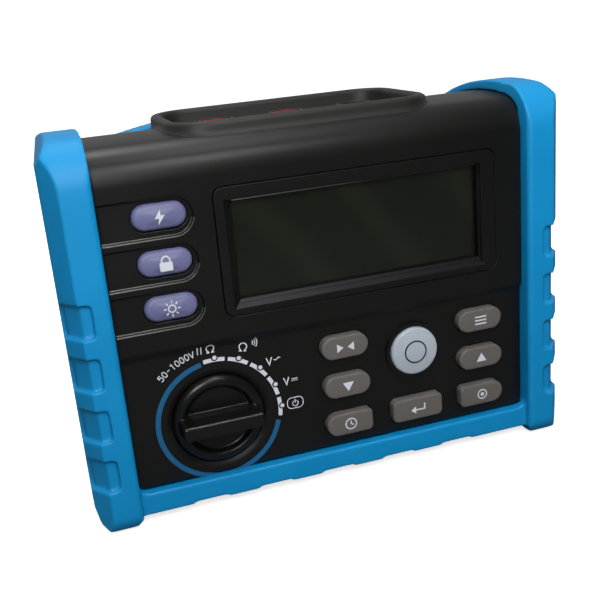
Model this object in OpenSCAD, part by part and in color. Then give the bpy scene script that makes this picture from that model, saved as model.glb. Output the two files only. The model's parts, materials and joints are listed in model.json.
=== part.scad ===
// Hand-held insulation resistance tester in a blue protective boot.
// It stands upright on the boot's feet. The panel faces -Y, +X is to the panel's right and +Z is up.
// The origin is under the middle of the whole tester, at the height of the feet.

/* [Overall] */
// Width over the boot
boot_w = 204; // [200:1:208]
// Height from the feet to the top of the side guards
boot_h = 152; // [150:0.5:154]
// Depth from the knob's grip to the back of the boot
total_d = 94; // [94:0.5:98]
// How far the knob's grip stands in front of the guards
knob_proud = 2; // [1:0.5:3]
// Roundness of curves, as segments in a full turn
$fn = 64; // [48:8:96]

/* [Case] */
// Width of the case under the boot
case_w = 188; // [186:1:188]
// Height of the case's lower face
case_z0 = 11; // [10:0.5:12]
// Height of the crown of the case's top
case_z1 = 147.8; // [146:0.2:148]
// Wall thickness of both case shells
wall = 2.5; // [2:0.1:3]
// Radius of the case's edges at the bottom and the back
case_r = 10; // [8:0.5:12]
// Radius where the case's front rounds over into the top
top_r = 14; // [12:0.5:15]
// Radius of the gently domed top
crown_r = 115; // [110:5:125]
// Depth position of the dome's crest
crown_y = -12; // [-14:1:-10]
// Depth position of the seam between the two shells
seam_y = -10; // [-12:1:-8]
// Width of the panel that shows between the guards
panel_w = 168.6; // [166:0.2:170]

/* [Panel] */
// Depth of the display section's face behind the guards
display_back = 5.5; // [5:0.1:6]
// Depth of the keypad section's face behind the guards
keypad_back = 7.6; // [7:0.1:8]
// Height of the step between the display and keypad sections
step_z = 70.8; // [70:0.2:72]
// Depth of the pockets round the side keys
pocket_d = 1.4; // [1:0.1:1.6]

/* [Display] */
// Width of the bezel
bezel_w = 114.6; // [113:0.2:116]
// Height of the bezel
bezel_h = 49.4; // [48:0.1:51]
// Middle of the bezel, left to right
bezel_x = 15; // [14:0.2:16]
// Middle of the bezel, up
bezel_z = 103.3; // [102.5:0.1:104]
// Width of the window
window_w = 101; // [98:0.2:102]
// Height of the window
window_h = 38.2; // [36:0.2:39]
// How far the frame's left side slopes in to the window
flare_left = 3.2; // [2.6:0.1:3.6]
// How far the frame's bottom slopes in to the window
flare_bottom = 3; // [2.6:0.1:3.4]
// How far the frame's right side and top slope in to the window
flare_small = 0.7; // [0.4:0.1:1.2]

/* [Keys] */
// How far a key moves when pressed
key_travel = 1.1; // [0.8:0.1:1.2]
// Gap between a key and its hole
key_gap = 0.3; // [0.2:0.05:0.4]
// Width of a grey key
grey_w = 19.9; // [19:0.1:21]
// Height of a grey key
grey_h = 9.6; // [9:0.1:11]
// Width of a side key
side_w = 20.3; // [19:0.1:21]
// Height of a side key
side_h = 9.9; // [9.2:0.1:10.4]
// Width of the enter key
enter_w = 22.4; // [21:0.2:24]
// Height of the enter key
enter_h = 10; // [9:0.2:11]
// Diameter of the measure key
measure_d = 20.4; // [19:0.2:21.6]
// How far a grey key stands out of the panel
grey_proud = 3.4; // [2.4:0.1:3.6]
// Left to right position of the compare, relative and timer keys
left_column_x = 3.7; // [3:0.1:4.4]
// Left to right position of the enter and measure keys
middle_column_x = 34; // [33.4:0.2:34.4]
// Left to right position of the memory, read and select keys
right_column_x = 63.9; // [63:0.1:64.5]
// Height of the bottom row of keys
row_z0 = 24.1; // [23.8:0.1:24.4]
// Distance between rows of grey keys
row_pitch = 16.8; // [16.5:0.1:17]
// Left to right position of the side keys
side_x = -62.4; // [-63:0.2:-62]
// Height of the lowest side key
side_z0 = 86; // [85.6:0.1:86.4]
// Distance between side keys
side_pitch = 17.3; // [17:0.1:17.6]
// Height of the measure key
measure_z = 49.5; // [49:0.1:50]

/* [Dial] */
// Middle of the dial, left to right
dial_x = -49.4; // [-50:0.2:-49]
// Middle of the dial, up
dial_z = 37.1; // [37:0.1:38]
// Radius of the knob
knob_r = 18.3; // [17.8:0.1:18.6]
// Width of the knob's grip bar
grip_w = 5.6; // [5.2:0.1:6.4]

/* [Terminals] */
// Distance between neighbouring sockets
socket_pitch = 29.3; // [28:0.1:30]
// Radius of the hole in a socket contact for a 4 mm plug
contact_bore_r = 2.02; // [2.02:0.01:2.04]
// Height of the terminal tray's rim
tray_z1 = 151; // [150:0.2:151.4]
// Height of the terminal tray's floor
tray_floor_z = 143.5; // [143:0.1:144]
// Width of the terminal tray
tray_w = 106; // [105:1:108]
// Depth of the terminal tray from front to back
tray_d = 60; // [56:1:61]

/* [Batteries] */
// Diameter of a C cell
cell_d = 26.2; // [25.8:0.1:26.2]
// Length of a C cell over its button
cell_l = 50; // [49:0.5:50]
// Distance between rows of cells
cell_pitch = 26.7; // [26.5:0.1:26.8]

/* [Hidden] */

// Depth positions, from the guards' front faces backwards
guard_y = -total_d / 2 + knob_proud;
back_y = total_d / 2;
display_y = guard_y + display_back;
keypad_y = guard_y + keypad_back;
inner_y = display_y + 4.6;
case_y1 = back_y - 4;
gap = 0.15;
tiny = 0.05;
past = 1;

// Boot
guard_in = panel_w / 2 + 0.3;
guard_face = 96.1;
bevel_y = 7.7;
arch_r = 130;
arch_y = -17;
corner_drop = 8.5;
bar_z0 = 4.4;
bar_back = 4;
lip_z = 13.6;
rebate_y = guard_y + 8.6;
strap_z = 132;
strap_high = 147.5;
rear_window = [140, 116.5];

// Tray
tray_r = 15;
tray_rim = 4.2;
tray_y = -0.5;

// Keys
column_x = [left_column_x, middle_column_x, right_column_x];
row_z = [row_z0, row_z0 + row_pitch, row_z0 + 2 * row_pitch];
side_z = [side_z0, side_z0 + side_pitch, side_z0 + 2 * side_pitch];

// Board and stack behind the panel
board_y = -24;
board_t = 1.6;
board_w = 164;
board_z = [14.5, 126.5];
lens_y = display_y + 3;
mat_y = inner_y + 2.3;
boss_x = 87.5;
boss_z = [24, 128];
board_hole = [[-77.5, 19], [77.5, 19], [-77.5, 122], [77.5, 122]];

// Battery bay
bay_w = 114;
bay_h = 4 * cell_pitch + 1;
bay_z = 73.75;
bay_y = 11;
cover_w = 128;
cover_h = 113.5;
cover_t = 2.4;
cell_y = bay_y + 2 + 0.4 + cell_d / 2;
cover_screw = [60.6, 40];

blue = [0.06, 0.5, 0.78];
shell_black = [0.09, 0.09, 0.1];
key_grey = [0.42, 0.4, 0.39];
key_purple = [0.42, 0.41, 0.66];
brass = [0.8, 0.65, 0.3];
steel = [0.7, 0.71, 0.73];

// ---- Helpers ----

// Extrudes an outline drawn in X and Z from depth y0 back to depth y1
module front_to_back(y0, y1) {
    translate([0, y1, 0]) rotate([90, 0, 0]) linear_extrude(height = y1 - y0) children();
}

// Extrudes an outline drawn in Y and Z from x0 to x1
module across(x0, x1) {
    translate([x0, 0, 0]) rotate([90, 0, 90]) linear_extrude(height = x1 - x0) children();
}

// A box given by its low and high corners
module block(low, high) {
    translate(low) cube(high - low);
}

// A cylinder along +Y from y0 to y1
module rod_y(x, z, r, y0, y1) {
    translate([x, y1, z]) rotate([90, 0, 0]) cylinder(h = y1 - y0, r = r);
}

// A cylinder along +X from x0 to x1
module rod_x(y, z, r, x0, x1) {
    translate([x0, y, z]) rotate([0, 90, 0]) cylinder(h = x1 - x0, r = r);
}

// A cylinder along +Z from z0 to z1
module rod_z(x, y, r, z0, z1) {
    translate([x, y, z0]) cylinder(h = z1 - z0, r = r);
}

// A rectangle about its middle with round corners
module round_rect(w, h, r) {
    square([w - 2 * r, h], center = true);
    square([w, h - 2 * r], center = true);
    for (sx = [-1, 1], sz = [-1, 1])
        translate([sx * (w / 2 - r), sz * (h / 2 - r)]) circle(r = r);
}

// A stadium: a bar with two half-round ends
module stadium(w, h) {
    square([w - h, h], center = true);
    for (s = [-1, 1]) translate([s * (w - h) / 2, 0]) circle(d = h);
}

// A bar with one half-round end and one squared end with small corners. side is 1 for round right
module half_stadium(w, h, side) {
    small = 2.2;
    translate([side * (w - h) / 2, 0]) circle(d = h);
    square([w - h, h], center = true);
    translate([-side * h / 4, 0]) round_rect(w - h / 2, h, small);
}

// Side view of the case, grown outwards by g
// What a round corner between the case's front and its domed top takes away
module top_corner(g) {
    crown_z = case_z1 - crown_r;
    y = display_y + top_r;
    z = crown_z + sqrt(pow(crown_r - top_r, 2) - pow(y - crown_y, 2));
    lean = atan2(z - crown_z, y - crown_y);
    far = 2 * top_r;
    difference() {
        polygon([
            [y, z], [display_y - far, z], [display_y - far, z + 2 * far],
            [y + 2 * far * cos(lean), z + 2 * far * sin(lean)]
        ]);
        translate([y, z]) circle(r = top_r + g);
    }
}

module case_profile(g) {
    difference() {
        intersection() {
            translate([(display_y + case_y1) / 2, (case_z0 + case_z1) / 2])
                round_rect(case_y1 - display_y + 2 * g, case_z1 - case_z0 + 2 * g, case_r + g);
            translate([crown_y, case_z1 - crown_r]) circle(r = crown_r + g, $fn = 360);
        }
        top_corner(g);
    }
}

// The case's solid envelope, grown by g: the wide body plus the narrower raised panel
module case_envelope(g) {
    intersection() {
        across(-case_w / 2 - g, case_w / 2 + g) case_profile(g);
        block([-case_w, rebate_y - g, 0], [case_w, back_y, boot_h]);
    }
    across(-panel_w / 2 - g, panel_w / 2 + g) case_profile(g);
}

// The lower, keypad half of the panel is set back, with a sloped step
module keypad_setback() {
    rise = 4.6;
    steps = 8;
    slope = [
        for (i = [0:steps]) let (t = i / steps)
            [keypad_y - (keypad_y - display_y) * t * t * (3 - 2 * t), step_z - rise * (1 - t)]
    ];
    across(-case_w, case_w)
        polygon(concat([[display_y - past, step_z], [display_y - past, 0], [keypad_y, 0]], slope));
}

// ---- Key outlines ----

module side_key_outline(g) { stadium(side_w + 2 * g, side_h + 2 * g); }
module grey_key_outline(g) { stadium(grey_w + 2 * g, grey_h + 2 * g); }
module grey_end_outline(g, side) { half_stadium(grey_w + 2 * g, grey_h + 2 * g, side); }
module enter_outline(g) { round_rect(enter_w + 2 * g, enter_h + 2 * g, 2.4 + g); }
module measure_outline(g) { circle(d = measure_d + 2 * g); }

// Puts a key outline of number i in its place. 0 to 2 side keys, 3 to 5 memory column,
// 6 to 8 compare column, 9 enter, 10 measure
module key_at(i, g) {
    if (i < 3) translate([side_x, side_z[i]]) side_key_outline(g);
    if (i == 3) translate([column_x[2], row_z[2]]) grey_key_outline(g);
    if (i == 4) translate([column_x[2], row_z[1]]) grey_key_outline(g);
    if (i == 5) translate([column_x[2], row_z[0]]) grey_end_outline(g, 1);
    if (i == 6) translate([column_x[0], row_z[2]]) grey_key_outline(g);
    if (i == 7) translate([column_x[0], row_z[1]]) grey_key_outline(g);
    if (i == 8) translate([column_x[0], row_z[0]]) grey_end_outline(g, -1);
    if (i == 9) translate([column_x[1], row_z[0]]) enter_outline(g);
    if (i == 10) translate([column_x[1], measure_z]) measure_outline(g);
}

// A key: cap through the panel, with a flange that keeps it in
module key(i) {
    cap_y = i < 3 ? display_y - 0.5 : keypad_y - grey_proud;
    front_to_back(cap_y, inner_y + tiny) key_at(i, 0);
    front_to_back(inner_y + tiny, inner_y + 1.05) key_at(i, 1);
}

// ---- Enclosure ----

module tray_outline(g) {
    translate([0, tray_y]) round_rect(tray_w + 2 * g, tray_d + 2 * g, tray_r + g);
}

// Collar round the terminals with its floor, whole
module tray_solid() {
    difference() {
        translate([0, 0, tray_floor_z - wall])
            linear_extrude(height = tray_z1 - tray_floor_z + wall) tray_outline(0);
        translate([0, 0, tray_floor_z]) linear_extrude(height = 20) tray_outline(-tray_rim);
    }
}

// Hollow inside the two shells, up to the tray's floor
module case_hollow() {
    difference() {
        across(-case_w / 2 + wall, case_w / 2 - wall)
            intersection() {
                case_profile(-wall);
                translate([inner_y, 0]) square([total_d, boot_h]);
            }
        translate([0, 0, tray_floor_z - wall]) linear_extrude(height = 20) tray_outline(0);
    }
}

// Everything in front of the seam
module before_seam() {
    block([-boot_w, -total_d, -past], [boot_w, seam_y - tiny / 2, boot_h + past]);
}

// Everything behind the seam
module behind_seam() {
    block([-boot_w, seam_y + tiny / 2, -past], [boot_w, total_d, boot_h + past]);
}

// Case walls and tray, solid skin only
module case_skin() {
    difference() {
        case_envelope(0);
        case_hollow();
        translate([0, 0, tray_floor_z]) linear_extrude(height = 20) tray_outline(-tray_rim);
        keypad_setback();
    }
    tray_solid();
}

// Sunken lane round each side key, with sloping sides and a round end
module side_key_pockets() {
    half = 7.5;
    slope = 0.6;
    end_x = -57.4;
    drop = 0.6;
    floor_y = display_y + pocket_d;
    for (key_z = side_z) {
        z = key_z - drop;
        translate([end_x, floor_y, z]) rotate([90, 0, 0]) cylinder(h = pocket_d, r1 = half - slope, r2 = half);
        rod_y(end_x, z, half, display_y - past, display_y);
        across(-case_w / 2, end_x)
            polygon([
                [display_y - past, z - half], [display_y, z - half], [floor_y, z - half + slope],
                [floor_y, z + half - slope], [display_y, z + half], [display_y - past, z + half]
            ]);
    }
}

// The display's opening: wide at the frame's face, narrowing to the window
module window_flare() {
    face_y = display_y - 0.2;
    half_w = window_w / 2;
    half_h = window_h / 2;
    intersection() {
        across(bezel_x - bezel_w, bezel_x + bezel_w)
            polygon([
                [face_y - past, bezel_z - half_h - flare_bottom], [face_y, bezel_z - half_h - flare_bottom],
                [lens_y, bezel_z - half_h], [lens_y, bezel_z + half_h],
                [face_y, bezel_z + half_h + flare_small], [face_y - past, bezel_z + half_h + flare_small]
            ]);
        translate([0, 0, bezel_z - bezel_h]) linear_extrude(height = 2 * bezel_h)
            polygon([
                [bezel_x - half_w - flare_left, face_y - past], [bezel_x - half_w - flare_left, face_y],
                [bezel_x - half_w, lens_y], [bezel_x + half_w, lens_y],
                [bezel_x + half_w + flare_small, face_y], [bezel_x + half_w + flare_small, face_y - past]
            ]);
    }
}

// The sloping well round the dial
module dial_well() {
    deep = 1.2;
    outer = knob_r + 3.1;
    inner = knob_r + 0.3;
    translate([dial_x, keypad_y + deep, dial_z]) rotate([90, 0, 0]) cylinder(h = deep, r1 = inner, r2 = outer);
    rod_y(dial_x, dial_z, outer, keypad_y - past, keypad_y);
}

module front_case() {
    color(shell_black) difference() {
        union() {
            intersection() { case_skin(); before_seam(); }
            for (sx = [-1, 1], z = boss_z) rod_y(sx * boss_x, z, 4.4, inner_y - past, seam_y - tiny / 2);
            for (p = board_hole) rod_y(p[0], p[1], 3.2, inner_y - past, board_y - tiny);
        }
        // insert and screw holes
        for (sx = [-1, 1], z = boss_z) rod_y(sx * boss_x, z, 2.9, seam_y - 9, seam_y + past);
        for (sx = [-1, 1], z = boss_z) rod_y(sx * boss_x, z, 1.9, seam_y - 16, seam_y);
        for (p = board_hole) rod_y(p[0], p[1], 1.55, board_y - 8, board_y + past);
        // bezel seat and window
        front_to_back(display_y - past, display_y + 1.65)
            translate([bezel_x, bezel_z]) round_rect(bezel_w + 0.6, bezel_h + 0.6, 3.8);
        window_flare();
        front_to_back(lens_y - tiny, inner_y + past)
            translate([bezel_x, bezel_z]) round_rect(window_w + 3.2, window_h + 3.2, 1.6);
        side_key_pockets();
        dial_well();
        for (i = [0:10]) front_to_back(-total_d, inner_y + past) key_at(i, key_gap);
        rod_y(dial_x, dial_z, knob_r + 0.35, -total_d, inner_y + past);
    }
}

module rear_case() {
    bay_wall = 2;
    color(shell_black) difference() {
        union() {
            intersection() { case_skin(); behind_seam(); }
            // walls of the battery bay
            front_to_back(bay_y, case_y1 - past)
                translate([0, bay_z]) square([bay_w + 2 * bay_wall, bay_h + 2 * bay_wall], center = true);
            for (sx = [-1, 1], z = boss_z)
                rod_y(sx * boss_x, z, 4.4, seam_y + tiny / 2, case_y1 - past);
            // collars round the sockets
            for (i = [-1:1]) rod_z(i * socket_pitch, 0, 7.3, tray_floor_z - tiny, tray_floor_z + 4.5);
            // screw posts for the battery cover, beside the bay
            for (sx = [-1, 1], sz = [-1, 1])
                rod_y(sx * cover_screw[0], bay_z + sz * cover_screw[1], 2.6, case_y1 - 9, case_y1 - past);
        }
        front_to_back(bay_y + bay_wall, case_y1 + past)
            translate([0, bay_z]) square([bay_w, bay_h], center = true);
        for (i = [-1:1]) rod_z(i * socket_pitch, 0, 6.2, tray_floor_z - wall - past, tray_z1);
        for (sx = [-1, 1], z = boss_z) {
            rod_y(sx * boss_x, z, 1.9, seam_y, case_y1 + past);
            rod_y(sx * boss_x, z, 3.4, case_y1 - 4, case_y1 + past);
        }
        for (sx = [-1, 1], sz = [-1, 1])
            rod_y(sx * cover_screw[0], bay_z + sz * cover_screw[1], 1.3, case_y1 - 8, case_y1 + past);
        // lead hole into the bay
        for (sx = [-1, 1]) rod_y(sx * 54.5, bay_z + bay_h / 2 - 3, 1.2, bay_y - past, bay_y + 3);
    }
}

module battery_cover() {
    lip = 2;
    color(shell_black) difference() {
        union() {
            front_to_back(case_y1 + tiny, case_y1 + cover_t)
                translate([0, bay_z]) round_rect(cover_w, cover_h, 6);
            front_to_back(case_y1 - 1.5, case_y1 + 0.1) translate([0, bay_z]) difference() {
                square([bay_w - 0.6, bay_h - 0.6], center = true);
                square([bay_w - 0.6 - 2 * lip, bay_h - 0.6 - 2 * lip], center = true);
            }
        }
        for (sx = [-1, 1], sz = [-1, 1]) {
            rod_y(sx * cover_screw[0], bay_z + sz * cover_screw[1], 1.6, case_y1, back_y);
            rod_y(sx * cover_screw[0], bay_z + sz * cover_screw[1], 3, case_y1 + 1.2, back_y);
        }
        // finger ridges pressed into the face
        for (i = [-3:3]) block([-20, case_y1 + 1.8, bay_z - 42 + i * 2.6], [20, back_y, bay_z - 41 + i * 2.6]);
    }
}

module battery_cover_screws() {
    color(steel) for (sx = [-1, 1], sz = [-1, 1])
        difference() {
            union() {
                rod_y(sx * cover_screw[0], bay_z + sz * cover_screw[1], 1.2, case_y1 - 6, case_y1 + 1.3);
                rod_y(sx * cover_screw[0], bay_z + sz * cover_screw[1], 2.7, case_y1 + 1.25, case_y1 + 2.3);
            }
            translate([sx * cover_screw[0], case_y1 + 2.3, bay_z + sz * cover_screw[1]])
                for (w = [[3.6, 0.8], [0.8, 3.6]]) cube([w[0], 1.2, w[1]], center = true);
        }
}

// Front view of the boot: chamfered shoulders, and a foot under each guard
module boot_front_outline() {
    shoulder = 5;
    foot_draft = [1.4, 6.4];
    foot_bevel = [4.4, 4.6];
    foot_in = 87.5;
    half = boot_w / 2;
    right = [
        [half - shoulder, boot_h], [half, boot_h - corner_drop], [half, foot_draft[1] + foot_bevel[1]],
        [half - foot_draft[0], foot_bevel[1]], [half - foot_draft[0] - foot_bevel[0], 0],
        [foot_in, 0], [foot_in - 2.3, bar_z0]
    ];
    left = [for (i = [len(right) - 1:-1:0]) [-right[i][0], right[i][1]]];
    polygon(concat(right, left));
}

// Side view of the boot: a full round at the top front, smaller ones elsewhere, under an arched top
module boot_side_outline() {
    small = 8;
    large = 18;
    intersection() {
        union() {
            translate([guard_y, small]) square([back_y - guard_y, boot_h - large - small]);
            translate([guard_y + small, 0]) square([back_y - guard_y - 2 * small, boot_h - large]);
            translate([guard_y + large, small]) square([back_y - guard_y - large - small, boot_h - small]);
            translate([0, boot_h / 2]) square([back_y, boot_h / 2 - small]);
            for (y = [guard_y + small, back_y - small]) translate([y, small]) circle(r = small);
            translate([back_y - small, boot_h - small]) circle(r = small);
            translate([guard_y + large, boot_h - large]) circle(r = large);
        }
        translate([arch_y, boot_h - arch_r]) circle(r = arch_r, $fn = 360);
    }
}

// View of the boot from above: bevelled front and back, and narrower towards the back
module boot_plan_outline() {
    half = boot_w / 2;
    taper_y = -28;
    rear_half = 97;
    rear_bevel = [3.5, 4];
    right = [
        [guard_face, guard_y], [half, guard_y + bevel_y], [half, taper_y],
        [rear_half, back_y - rear_bevel[1]], [rear_half - rear_bevel[0], back_y]
    ];
    left = [for (i = [len(right) - 1:-1:0]) [-right[i][0], right[i][1]]];
    polygon(concat(right, left));
}

// Shallow grip windows round the guards' outer front edges, and hollows under the bar
module grip_windows() {
    deep = 1.7;
    tall = 13;
    corner = 2.4;
    first_z = 26.2;
    pitch = 20.5;
    start_x = 91.2;
    side_end = guard_y + bevel_y + 3.4;
    bevel_angle = atan2(bevel_y, boot_w / 2 - guard_face);
    long = 12;
    for (s = [0, 1], i = [0:3]) mirror([s, 0, 0]) translate([0, 0, first_z + pitch * i]) {
        front_to_back(guard_y - past, guard_y + deep)
            translate([start_x + long, 0]) round_rect(2 * long, tall, corner);
        across(boot_w / 2 - deep, boot_w / 2 + past)
            translate([side_end - long, 0]) round_rect(2 * long, tall, corner);
        // cut the bevel back by the same depth
        translate([guard_face, guard_y, -tall / 2]) rotate([0, 0, bevel_angle])
            translate([-4, -3 * past, 0]) cube([16, 3 * past + deep, tall]);
    }
    bar_deep = 1;
    half = 7.6;
    for (i = [-2:2]) translate([27 * i - 3, 0, 0]) front_to_back(guard_y - past, guard_y + 24)
        polygon([
            [-half, bar_z0 - past], [-half, bar_z0], [-half + 1.6, bar_z0 + bar_deep],
            [half - 1.6, bar_z0 + bar_deep], [half, bar_z0], [half, bar_z0 - past]
        ]);
}

// Slopes off the guards' inner front edges
module guard_slopes() {
    slope = 1.3;
    for (s = [0, 1]) mirror([s, 0, 0]) linear_extrude(height = boot_h + past)
        polygon([
            [guard_in - past, guard_y - past], [guard_in + slope + past, guard_y - past],
            [guard_in, guard_y + slope], [guard_in - past, guard_y + slope]
        ]);
}

module protective_boot() {
    rear_r = 8;
    strap_r = 330;
    strap_d = 11;
    corner = 4;
    above = 20;
    color(blue) difference() {
        union() {
            intersection() {
                front_to_back(guard_y, back_y) boot_front_outline();
                across(-boot_w / 2, boot_w / 2) boot_side_outline();
                translate([0, 0, -past]) linear_extrude(height = boot_h + 2 * past) boot_plan_outline();
            }
            front_to_back(back_y - strap_d, back_y) intersection() {
                translate([0, strap_high + 1 - strap_r]) circle(r = strap_r, $fn = 360);
                translate([-guard_in - past, strap_z - past]) square([2 * guard_in + 2 * past, above]);
            }
        }
        case_envelope(gap);
        // the panel and the case's top stay open between the guards
        front_to_back(guard_y - past, back_y - strap_d)
            translate([0, (lip_z + boot_h + above) / 2])
                round_rect(2 * guard_in, boot_h + above - lip_z, corner);
        block([-guard_in, guard_y - past, -past], [guard_in, guard_y + bar_back, lip_z + corner]);
        guard_slopes();
        translate([0, 0, case_z1 - 15]) linear_extrude(height = 40) tray_outline(1);
        front_to_back(case_y1 - past, back_y + past)
            translate([0, bay_z]) round_rect(rear_window[0], rear_window[1], rear_r);
        grip_windows();
    }
}

// ---- Display ----

module display_bezel() {
    color(shell_black) difference() {
        front_to_back(display_y - 0.2, display_y + 1.6)
            translate([bezel_x, bezel_z]) round_rect(bezel_w, bezel_h, 3.5);
        window_flare();
    }
}

module display_lens() {
    color([0.2, 0.22, 0.2, 0.5]) front_to_back(lens_y, lens_y + 1.4)
        translate([bezel_x, bezel_z]) round_rect(window_w + 2.8, window_h + 2.8, 1.4);
}

module lens_gasket() {
    color(shell_black) front_to_back(lens_y + 1.45, lens_y + 2.15)
        translate([bezel_x, bezel_z]) difference() {
            round_rect(window_w + 2.8, window_h + 2.8, 1.4);
            round_rect(window_w - 1, window_h - 1, 1);
        }
}

// Stack behind the lens: its depth, width and height
stack_y = lens_y + 2.2;
glass_size = [107, 45];

module lcd_glass() {
    color([0.3, 0.34, 0.3]) front_to_back(stack_y, stack_y + 2.6)
        translate([bezel_x, bezel_z]) square(glass_size, center = true);
}

module backlight_panel() {
    color([0.85, 0.88, 0.85]) front_to_back(stack_y + 2.65, stack_y + 5.6)
        translate([bezel_x, bezel_z]) square([glass_size[0] - 2, glass_size[1] - 8], center = true);
}

module elastomer_strips() {
    color([0.75, 0.6, 0.7]) for (s = [-1, 1])
        block([bezel_x - 51, stack_y + 2.65, bezel_z + s * 20.6 - 1.1],
            [bezel_x + 51, board_y - tiny, bezel_z + s * 20.6 + 1.1]);
}

module lcd_holder() {
    color([0.85, 0.85, 0.82]) front_to_back(inner_y + tiny, board_y - tiny)
        translate([bezel_x, bezel_z]) difference() {
            square([glass_size[0] + 5, glass_size[1] + 5], center = true);
            square([glass_size[0] + 0.4, glass_size[1] + 0.4], center = true);
        }
}

module display_cable() {
    color([0.8, 0.5, 0.2]) block([bezel_x - 8, stack_y + 5.65, bezel_z - 0.2],
        [bezel_x + 8, board_y - tiny, bezel_z + 0.2]);
}

// ---- Keys ----

module voltage_key() { color(key_purple) key(2); }
module hold_key() { color(key_purple) key(1); }
module backlight_key() { color(key_purple) key(0); }
module memory_key() { color(key_grey) key(3); }
module read_key() { color(key_grey) key(4); }
module select_key() { color(key_grey) key(5); }
module compare_key() { color(key_grey) key(6); }
module relative_key() { color(key_grey) key(7); }
module timer_key() { color(key_grey) key(8); }
module enter_key() { color(key_grey) key(9); }
module measure_key() { color([0.68, 0.72, 0.76]) key(10); }

module measure_collar() {
    color(shell_black) front_to_back(keypad_y - 1.3, keypad_y - tiny)
        translate([column_x[1], measure_z]) difference() {
            circle(d = measure_d + 3.6);
            circle(d = measure_d + 2 * key_gap);
        }
}

// Silicone sheet with a contact pill behind each key
module mat(low, high, keys) {
    difference() {
        union() {
            block([low[0], mat_y, low[1]], [high[0], mat_y + 1.2, high[1]]);
            for (k = keys) front_to_back(mat_y + 1, mat_y + 1.8) translate(k) circle(r = 3);
        }
        for (p = board_hole) rod_y(p[0], p[1], 3.6, mat_y - past, mat_y + 3);
    }
}

module keypad_mat() {
    color([0.3, 0.3, 0.32]) mat([-10, 15], [78, 68], concat(
        [for (x = [column_x[0], column_x[2]], z = row_z) [x, z]],
        [[column_x[1], row_z[0]], [column_x[1], measure_z]]));
}

module side_keypad_mat() {
    color([0.3, 0.3, 0.32]) mat([side_x - 13, 77], [side_x + 13, 128], [for (z = side_z) [side_x, z]]);
}

// ---- Dial ----

stem_r = 4;
spindle_r = 2.5;
rotor_y = inner_y + 1.2;
rotor_t = 2;

module dial_knob() {
    face_y = keypad_y - 1.4;
    color(shell_black) {
        difference() {
            rod_y(dial_x, dial_z, knob_r, face_y, inner_y + 0.5);
            // the two hollows beside the grip
            front_to_back(face_y - past, face_y + 2.8) translate([dial_x, dial_z]) difference() {
                circle(r = knob_r - 4.9);
                square([2 * knob_r, grip_w + 1.2], center = true);
            }
        }
        front_to_back(-total_d / 2, face_y + 3) intersection() {
            translate([dial_x, dial_z]) square([2 * knob_r, grip_w], center = true);
            translate([dial_x, dial_z]) circle(r = knob_r - 3.4);
        }
        rod_y(dial_x, dial_z, stem_r, inner_y, rotor_y + rotor_t);
    }
}

module dial_rotor() {
    color([0.85, 0.85, 0.82]) {
        difference() {
            rod_y(dial_x, dial_z, 17.5, rotor_y, rotor_y + rotor_t);
            rod_y(dial_x, dial_z, stem_r + 0.03, rotor_y - past, rotor_y + rotor_t + past);
        }
        rod_y(dial_x, dial_z, spindle_r, rotor_y + rotor_t + tiny, board_y + board_t + 1.5);
        difference() {
            rod_y(dial_x, dial_z, 7, rotor_y + rotor_t - 0.2, rotor_y + rotor_t + 1.6);
            rod_y(dial_x, dial_z, stem_r + 0.03, rotor_y, rotor_y + rotor_t + tiny);
        }
    }
}

module rotor_wipers() {
    wiper_y = rotor_y + rotor_t + tiny;
    color(brass) for (a = [0, 120, 240])
        translate([dial_x, 0, dial_z]) rotate([0, a, 0]) {
            block([9, wiper_y, -1.5], [15, wiper_y + 0.4, 1.5]);
            block([14.4, wiper_y, -1.5], [15, board_y - 0.1, 1.5]);
        }
}

module detent_ring() {
    ring_r = 21;
    color([0.85, 0.85, 0.82]) difference() {
        rod_y(dial_x, dial_z, ring_r, inner_y + tiny, inner_y + 2.4);
        rod_y(dial_x, dial_z, ring_r - 2.6, inner_y - past, inner_y + 3);
        for (i = [0:15]) translate([dial_x, inner_y, dial_z]) rotate([0, i * 22.5, 0])
            rod_y(ring_r - 2.6, 0, 0.9, -past, 3);
    }
}

// ---- Terminals ----

block_z = [119, tray_floor_z - wall - tiny];
socket_z0 = 121;

module terminal_block() {
    color([0.85, 0.85, 0.82]) difference() {
        block([-42, -9, block_z[0]], [42, 9, block_z[1]]);
        for (i = [-1:1]) {
            rod_z(i * socket_pitch, 0, 6.1, socket_z0 - tiny, block_z[1] + past);
            rod_z(i * socket_pitch, 0, 3.1, block_z[0] - past, socket_z0);
        }
    }
}

// A shrouded 4 mm socket: outer wall, and a sleeve round the contact
module socket(i) {
    top = 147.6;
    outer = [5.1, 6];
    sleeve = [2.95, 3.7];
    translate([i * socket_pitch, 0, 0]) rotate_extrude() polygon([
        [sleeve[0], socket_z0], [outer[1], socket_z0], [outer[1], top], [outer[0], top],
        [outer[0], socket_z0 + 2], [sleeve[1], socket_z0 + 2], [sleeve[1], top - 1.5], [sleeve[0], top - 1.5]
    ]);
}

module line_socket() { color([0.75, 0.1, 0.1]) socket(-1); }
module volt_socket() { color([0.75, 0.1, 0.1]) socket(0); }
module earth_socket() { color([0.1, 0.1, 0.1]) socket(1); }

contact_z = [115, 145.6];

module socket_contacts() {
    color(brass) for (i = [-1:1]) difference() {
        rod_z(i * socket_pitch, 0, 2.9, contact_z[0], contact_z[1]);
        rod_z(i * socket_pitch, 0, contact_bore_r, contact_z[0] + 5, contact_z[1] + past);
    }
}

module socket_leads() {
    lead_r = 1.1;
    bend_z = 104;
    color([0.6, 0.1, 0.1]) for (i = [-1:1]) {
        rod_z(i * socket_pitch, 0, lead_r, bend_z, contact_z[0] - tiny);
        translate([i * socket_pitch, 0, bend_z]) sphere(r = lead_r, $fn = 32);
        rod_y(i * socket_pitch, bend_z, lead_r, board_y + board_t + tiny, 0);
    }
}

// ---- Electronics ----

mount_y = board_y + board_t + tiny;

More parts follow.
